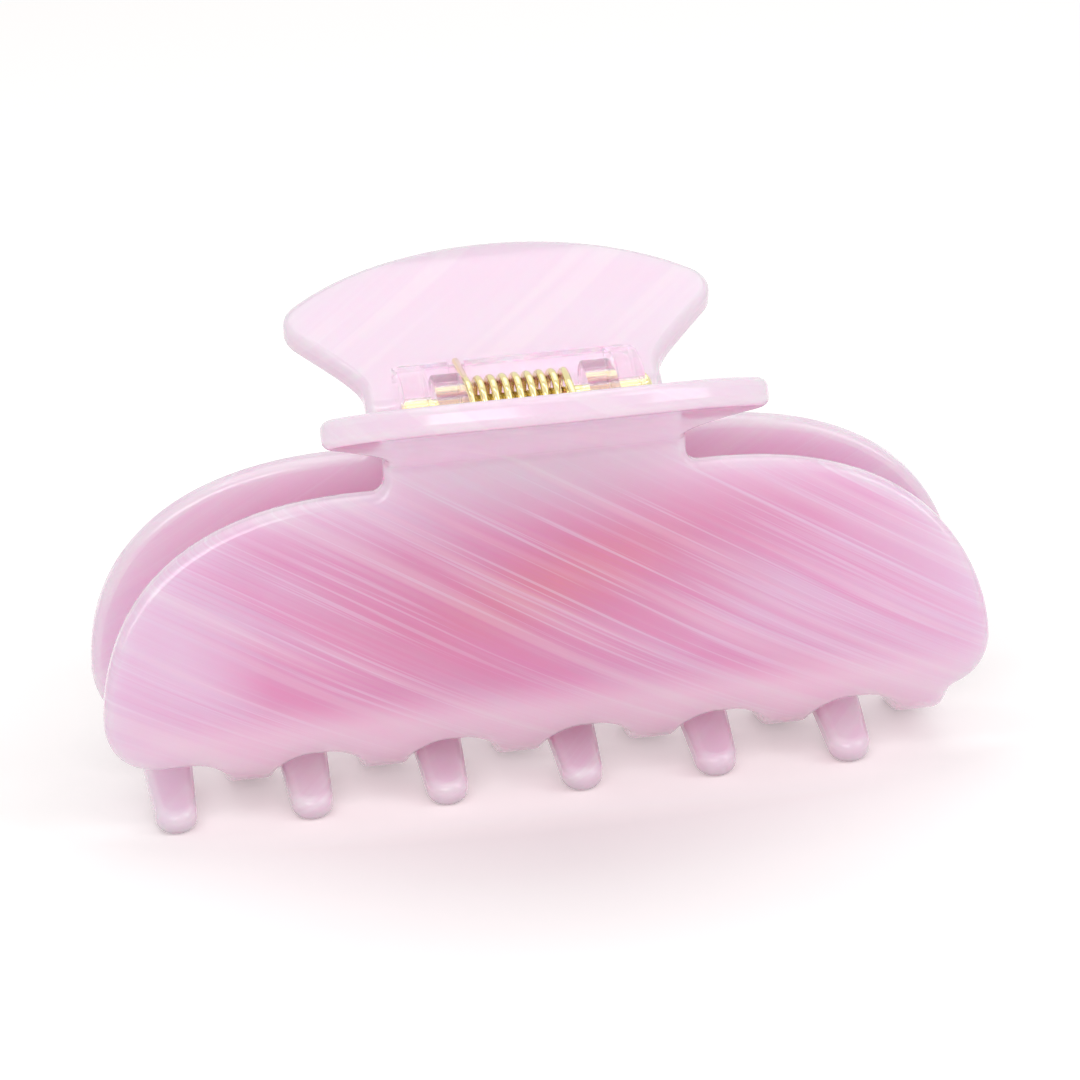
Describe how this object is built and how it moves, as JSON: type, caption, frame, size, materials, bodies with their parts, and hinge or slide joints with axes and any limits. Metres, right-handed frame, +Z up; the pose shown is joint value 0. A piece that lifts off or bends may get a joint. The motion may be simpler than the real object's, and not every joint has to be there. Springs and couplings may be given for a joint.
{
  "type": "claw clip",
  "caption": "Large hair claw clip: two bent plastic jaws with interleaving teeth and flared handles, hinged on a pin and closed by a coil spring.",
  "frame": {"origin": "middle of the clip on the surface it stands on, under the hinge pin", "axes": "+X along the hinge pin towards its head, +Z up from the tooth tips to the handles, the front jaw on the -Y side"},
  "size_m": [0.0966, 0.0584, 0.0516],
  "materials": {
    "jaw_plastic": "pearl",
    "clear_plastic": "clear",
    "gold_metal": "polished"
  },
  "bodies": {
    "rear_half": {"rear_jaw": "jaw_plastic", "rear_hinge_leaf": "clear_plastic", "hinge_pin": "gold_metal", "torsion_spring": "gold_metal"},
    "front_half": {"front_jaw": "jaw_plastic", "front_hinge_leaf": "clear_plastic"}
  },
  "joints": [
    {"name": "jaw_hinge", "type": "hinge", "parent": "rear_half", "child": "front_half", "pos_m": [0, 0, 0.04219], "axis": [-1, 0, 0], "range_deg": [0, 60], "stiffness_Nm_per_rad": 0.22, "springref_deg": -30.94, "deforming": ["torsion_spring"]}
  ]
}
